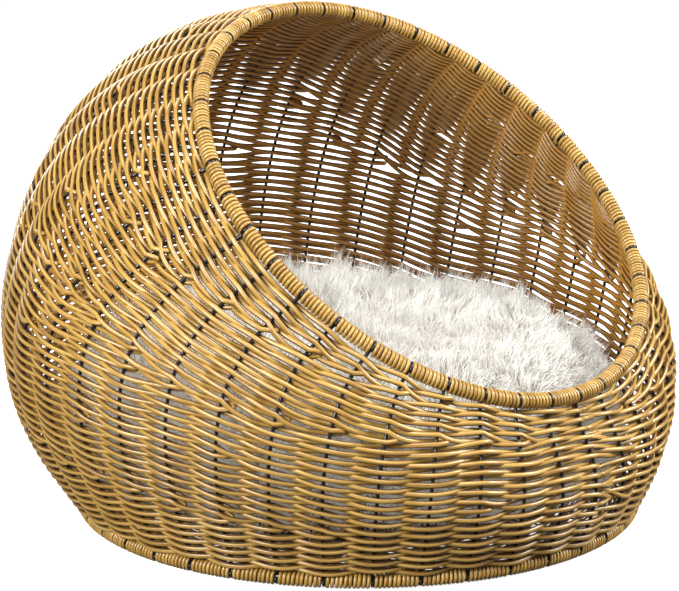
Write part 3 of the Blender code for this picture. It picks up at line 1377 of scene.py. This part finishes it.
@dataclass
class FurCushion:
    """A loose round cushion in long white pile: a padded body with tufts standing on it."""

    shell: Shell
    centre: tuple = (0.0, -0.0086)
    bottom: float = 0.0090
    height: float = 0.123
    radius: float = 0.193
    base_radius: float = 0.166
    widest: float = 0.42
    columns: int = 96
    shrink: float = 0.005
    voxel: float = 0.006
    pressure: float = 4.0
    steps: int = 20
    most_swell: float = 0.010
    most_spread: float = 0.003
    longer_at_back: float = 0.38
    lift: float = 0.025
    clear_of_wall: float = 0.0078
    clear_of_floor: float = 0.006
    bare_rings: int = 4
    tufts: int = 1650
    hairs: int = 12
    outward: float = 0.50
    upward: float = 0.45
    comb: float = 0.42
    unruly: float = 0.17
    droop: float = 0.10
    gather: float = 0.28
    root_depth: float = 0.002
    tuft_range: tuple = (0.72, 1.18)
    hair_range: tuple = (0.70, 1.12)
    bow_range: tuple = (0.02, 0.12)
    bend_at: float = 0.55
    bend_taper: float = 0.75
    tuft_radius: float = 0.0040
    tip_scatter: float = 0.0019
    lump_height: float = 0.0035
    lumps_from: float = 0.03
    seed: int = 11
    layers: tuple = (
        ("cushion_pile_long", 0.032, 0.00046),
        ("cushion_pile_full", 0.029, 0.00050),
        ("cushion_pile_middle", 0.025, 0.00054),
        ("cushion_pile_short", 0.019, 0.00060),
    )

    @property
    def crown(self) -> float:
        """The body's height at its middle, before its lumps."""
        return self.bottom + self.height - self.shrink

    def profile(self) -> Array:
        """Radius and height down the side: a rounded top edge, the widest line, then a tuck.

        Returns:
            Radius and height pairs from the crown to the base.
        """
        side = self.bottom + self.widest * self.height
        lift = np.radians(np.linspace(88, 0, 18))
        radius = (self.radius - self.shrink) * np.cos(lift) ** 0.5
        height = side + ((1 - self.widest) * self.height - self.shrink) * np.sin(lift) ** 0.9
        tuck = np.linspace(0, 1, 8)[1:]
        low_radius = radius[-1] + (self.base_radius - radius[-1]) * tuck**1.8
        low_height = side + (self.bottom - side) * (1 - (1 - tuck) ** 1.6)
        return np.stack([np.r_[radius, low_radius], np.r_[height, low_height]], -1)

    def body_surface(self) -> Surface:
        """The profile turned round the middle, closed at the crown and base, with soft lumps.

        Returns:
            The closed body, with an empty map.
        """
        profile = self.profile()
        ring = np.arange(self.columns)
        points = profile[:, :1, None] * outward_lines(TURN * ring / self.columns)
        points[..., :2] += self.centre
        lumpy = profile[:, 1:] > self.bottom + self.lumps_from
        points[..., 2] = profile[:, 1:] + self.lump(points[..., 0], points[..., 1]) * lumpy
        poles = [[*self.centre, self.crown + self.lump(*self.centre)], [*self.centre, self.bottom]]
        points = np.concatenate([points.reshape(-1, 3), poles])
        top, under = len(points) - 2, len(points) - 1
        caps = [fan(ring, top, False), fan(top - self.columns + ring, under, True)]
        quads = grid_quads(len(profile), self.columns, False)[:, ::-1]
        triangles = np.concatenate(caps)
        flat, flat_caps = np.zeros((len(quads), 4, 2)), np.zeros((len(triangles), 3, 2))
        return Surface(points, quads, flat, triangles, flat_caps)

    def lump(self, x: Array, y: Array) -> Array:
        """Soft lumps of the filling: three slow waves across the top."""
        wave = np.sin(23 * x + 1.3) * np.cos(19 * y - 0.6) + 0.6 * np.sin(37 * x - 31 * y + 2.0)
        return self.lump_height * wave

    def padded_body(self, material: Material) -> None:
        """Adds the body, blown up as cloth, its swelling capped, then smoothed once.

        Args:
            material: The backing's finish.
        """
        surface = self.body_surface()
        piece = add_piece("cushion_body", surface, material, Body.CUSHION, ["cushion"])
        self.inflate(piece)
        rounding = piece.modifiers.new("rounding", "SUBSURF")
        rounding.levels = rounding.render_levels = 1

    @staticmethod
    def evaluated(piece: bpy.types.Object) -> "tuple[bpy.types.Mesh, Array]":
        """A new mesh of a piece as its modifiers leave it, and its points.

        Args:
            piece: The piece.

        Returns:
            The mesh and its points.
        """
        graph = bpy.context.evaluated_depsgraph_get()
        mesh = bpy.data.meshes.new_from_object(piece.evaluated_get(graph))
        points = np.empty(len(mesh.vertices) * 3, np.float32)
        mesh.vertices.foreach_get("co", points)
        return mesh, points.reshape(-1, 3)

    def inflate(self, piece: bpy.types.Object) -> None:
        """Cloth under pressure with no gravity; no point moves further than most_swell.

        Args:
            piece: The piece whose mesh is replaced by the swollen one.
        """
        scene = bpy.context.scene
        work = bpy.data.objects.new("cushion_cloth", piece.data.copy())
        scene.collection.objects.link(work)
        remesh = work.modifiers.new("even", "REMESH")
        remesh.mode = "VOXEL"
        remesh.voxel_size = self.voxel
        even, before = self.evaluated(work)
        work.modifiers.clear()
        work.data = even
        cloth = work.modifiers.new("cloth", "CLOTH")
        cloth.settings.quality = 6
        cloth.settings.mass = 0.2
        cloth.settings.use_pressure = True
        cloth.settings.uniform_pressure_force = self.pressure
        cloth.settings.effector_weights.gravity = 0.0
        cloth.point_cache.frame_start = 1
        cloth.point_cache.frame_end = self.steps
        for frame_number in range(1, self.steps + 1):
            scene.frame_set(frame_number)
        move = self.evaluated(work)[1] - before
        size = np.linalg.norm(move, axis=1, keepdims=True)
        points = before + move * np.minimum(1, self.most_swell / np.maximum(size, TINY))
        points[:, 2] = np.maximum(points[:, 2], self.bottom)
        flat = np.linalg.norm(points[:, :2] - self.centre, axis=1, keepdims=True)
        shrink = np.minimum(1, (self.radius + self.most_spread) / np.maximum(flat, TINY))
        points[:, :2] = self.centre + (points[:, :2] - self.centre) * shrink
        even.vertices.foreach_set("co", points.astype(np.float32).ravel())
        even.polygons.foreach_set("use_smooth", np.ones(len(even.polygons), bool))
        even.materials.clear()
        even.materials.append(piece.data.materials[0])
        scene.frame_set(1)
        bpy.data.objects.remove(work)
        piece.data = even

    def roots(self, chance: np.random.Generator) -> Pair:
        """Places of the tufts on the top and the side, spread evenly by area, and the normals.

        Args:
            chance: The seeded source of random numbers.

        Returns:
            Points and outward normals.
        """
        rings = np.concatenate([[[0.0, self.crown]], self.profile()[: -self.bare_rings]])
        steps = np.linalg.norm(np.diff(rings, axis=0), axis=1)
        area = np.r_[0.0, np.cumsum(steps * (rings[1:, 0] + rings[:-1, 0]) / 2)]
        number = np.arange(self.tufts)
        pick = (number + 0.5) / self.tufts * area[-1]
        slope = np.gradient(rings, axis=0)
        leans = np.arctan2(slope[:, 0], -slope[:, 1])
        radius, height, lean = (
            np.interp(pick, area, values) for values in (rings[:, 0], rings[:, 1], leans)
        )
        turn = number * TURN * GOLDEN + chance.normal(0, 0.02, self.tufts)
        outward = outward_lines(turn)
        point = radius[:, None] * outward
        point[:, :2] += self.centre
        point[:, 2] = height + self.lump(point[:, 0], point[:, 1])
        return point, unit(np.cos(lean)[:, None] * outward + np.sin(lean)[:, None] * UP)

    def hair_ends(self, chance: np.random.Generator, length: float) -> Pair:
        """Root and tip of every hair, the tips gathered towards the tip of their tuft.

        Args:
            chance: The seeded source of random numbers.
            length: The usual length of a hair.

        Returns:
            Roots and tips.
        """
        point, normal = self.roots(chance)
        swirl = 9 * point[:, 0] + 4 * np.sin(31 * point[:, 1]) + 5 * np.cos(27 * point[:, 0] + 2)
        comb = np.stack([np.cos(swirl), np.sin(swirl), np.zeros(len(point))], -1)
        stray = chance.normal(0, self.unruly, point.shape)
        lean = unit(normal * self.outward + UP * self.upward + comb * self.comb + stray)
        back = np.clip((point[:, 1] - self.centre[1]) / self.radius, -1, 1)
        reach = length * (1 + self.longer_at_back * back)
        reach = reach * chance.uniform(*self.tuft_range, len(point))
        tip = point + lean * reach[:, None] - self.droop * length * UP
        shape = (len(point), self.hairs, 3)
        spread = chance.normal(0, self.tuft_radius, shape)
        spread -= (spread * normal[:, None]).sum(-1, keepdims=True) * normal[:, None]
        root = point[:, None] + spread - self.root_depth * normal[:, None]
        end = tip[:, None] + spread * self.gather + chance.normal(0, self.tip_scatter, shape)
        end = root + (end - root) * chance.uniform(*self.hair_range, (*shape[:2], 1))
        end = self.inside(end.reshape(-1, 3))
        end[:, 2] = np.maximum(end[:, 2], self.bottom + self.clear_of_floor)
        return root.reshape(-1, 3), end

    def pile(self, seed: int, length: float, thickness: float) -> Surface:
        """Tapered hairs, each bent once and again.

        A hair runs root + share * (tip - root) with a bow that is highest halfway, and its
        thickness falls from the root to nothing at the tip.

        Args:
            seed: The seed of this layer.
            length: The usual length of a hair.
            thickness: The radius of a hair near its root.

        Returns:
            All hairs as three-sided spikes.
        """
        chance = np.random.default_rng(seed)
        root, end = self.hair_ends(chance, length)
        bow = unit(np.cross(end - root, chance.normal(0, 1, root.shape)))
        bow = bow * (length * chance.uniform(*self.bow_range, (len(root), 1)))
        bow = bow + self.droop * length * UP
        shares = np.array([0.0, self.bend_at])
        arch = (4 * shares * (1 - shares))[None, :, None]
        line = root[:, None] + (end - root)[:, None] * shares[None, :, None] + bow[:, None] * arch
        side = unit(np.cross(end - root, [0.31, 0.52, 0.79]))
        other = unit(np.cross(end - root, side))
        turn = (TURN * np.arange(3) / 3)[:, None]
        size = thickness * np.array([1.0, self.bend_taper])[None, :, None, None]
        ring = np.cos(turn) * side[:, None] + np.sin(turn) * other[:, None]
        rings = line[:, :, None] + size * ring[:, None]
        points = np.concatenate([rings.reshape(len(root), 6, 3), end[:, None]], axis=1)
        start = np.arange(len(root))[:, None, None] * 7
        quads = (start + grid_quads(2, 3, False)[None]).reshape(-1, 4)
        spikes = np.array([[3, 4, 6], [4, 5, 6], [5, 3, 6], [2, 1, 0]])
        triangles = (start + spikes[None]).reshape(-1, 3)
        places = np.r_[np.repeat(shares, 3), 1.0]
        quad_map, triangle_map = (
            np.stack([places[faces % 7], np.zeros(faces.shape)], -1)
            for faces in (quads, triangles)
        )
        return Surface(points.reshape(-1, 3), quads, quad_map, triangles, triangle_map)

    def inside(self, end: Array) -> Array:
        """Hair tips pulled in wherever they would pass through the wall, in place or lifted.

        Args:
            end: Hair tips.

        Returns:
            The tips, kept clear of the wall.
        """
        middle = np.array([0.0, self.shell.centre_y])
        aside = end[:, :2] - middle
        angle = np.arctan2(aside[:, 0], -aside[:, 1])
        limits = [self.shell.inner_radius(angle, end[:, 2] + lift) for lift in (0.0, self.lift)]
        limit = np.minimum(*limits) - self.clear_of_wall
        share = np.minimum(1, limit / np.maximum(np.hypot(*aside.T), TINY))
        return np.concatenate([middle + aside * share[:, None], end[:, 2:]], axis=1)

    def build(self) -> None:
        """Adds the padded body and four layers of pile."""
        self.padded_body(BackingFinish().material())
        material = PileFinish().material()
        for number, (name, length, thickness) in enumerate(self.layers):
            surface = self.pile(self.seed + number, length, thickness)
            add_piece(name, surface, material, Body.CUSHION, [])


# ---------------------------------------------------------------- stage


@dataclass
class Stage:
    """Floor, lights and camera. A light is (name, place, size, energy)."""

    camera_place: tuple = (-1.2501, -1.1560, 0.5255)
    camera_back: tuple = (-0.7163, -0.6637, 0.2155)
    lens: float = 127.1
    sensor: float = 36.0
    clip: tuple = (0.05, 50.0)
    aim: tuple = (0.0, 0.0, 0.15)
    sky: float = 0.22
    floor_reach: float = 12.0
    floor_height: float = -0.0004
    lights: tuple = (
        ("left", (-1.9, 0.0, 1.0), 0.8, 52.0),
        ("right", (1.5, -1.5, 1.2), 0.8, 66.0),
        ("top", (-0.35, -1.15, 2.0), 0.9, 40.0),
        ("back", (0.9, 1.9, 1.5), 1.2, 30.0),
    )

    @staticmethod
    def put(name: str, data: object, place: tuple, forward: Vector) -> bpy.types.Object:
        """Adds a camera or a light that looks forward from its place.

        Args:
            name: The object's name.
            data: The camera or the light.
            place: Where it stands.
            forward: The way it looks.

        Returns:
            The new object.
        """
        item = bpy.data.objects.new(name, data)
        item.location = place
        item.rotation_mode = "QUATERNION"
        item.rotation_quaternion = forward.to_track_quat("-Z", "Y")
        bpy.context.scene.collection.objects.link(item)
        return item

    def camera(self) -> None:
        """A long lens with its back along camera_back."""
        data = bpy.data.cameras.new("camera")
        data.lens = self.lens
        data.sensor_width = self.sensor
        data.clip_start, data.clip_end = self.clip
        forward = -Vector(self.camera_back)
        bpy.context.scene.camera = self.put("camera", data, self.camera_place, forward)

    def light(self, name: str, place: tuple, size: float, energy: float) -> None:
        """A square soft light that faces the bed.

        Args:
            name: The light's name.
            place: Where it stands.
            size: Its side in metres.
            energy: Its power in watts.
        """
        data = bpy.data.lights.new(name, "AREA")
        data.size = size
        data.energy = energy
        self.put(name, data, place, Vector(self.aim) - Vector(place))

    def floor(self) -> None:
        """A wide floor just under the bed."""
        mesh = bpy.data.meshes.new("stage_floor")
        signs = ((-1, -1), (1, -1), (1, 1), (-1, 1))
        reach, low = self.floor_reach, self.floor_height
        mesh.from_pydata([(reach * x, reach * y, low) for x, y in signs], [], [(0, 1, 2, 3)])
        mesh.materials.append(FloorFinish().material())
        item = bpy.data.objects.new("stage_floor", mesh)
        item.visible_diffuse = False
        item.visible_glossy = False
        bpy.context.scene.collection.objects.link(item)

    def build(self) -> None:
        """Adds floor, sky, lights and camera."""
        self.floor()
        world = bpy.data.worlds.new("studio")
        world.use_nodes = True
        background = world.node_tree.nodes["Background"]
        background.inputs["Color"].default_value = (1.0, 1.0, 1.0, 1.0)
        background.inputs["Strength"].default_value = self.sky
        bpy.context.scene.world = world
        bpy.context.scene.view_settings.view_transform = "Standard"
        for light in self.lights:
            self.light(*light)
        self.camera()


def main() -> None:
    """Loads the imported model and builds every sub-assembly."""
    logging.basicConfig(level=logging.INFO, format="%(name)s: %(message)s", stream=sys.stdout)
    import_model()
    Stage().build()
    shell = Shell()
    wire, strand = WireFinish().material(), StrandFinish().material()
    WireFrame(shell, wire).build()
    base = ("base_coil", "base_wrap", True, 10, 0.0023, math.pi)
    hoop = ("hoop_coil", "hoop_wrap", False, 9, 0.0021, math.radians(140))
    for wrap in (base, hoop):
        RimWrap(shell, strand, *wrap).build()
    WovenWall(shell, strand).build()
    WovenFloor(shell, strand, wire).build()
    FurCushion(shell).build()


if __name__ == "__main__":
    main()
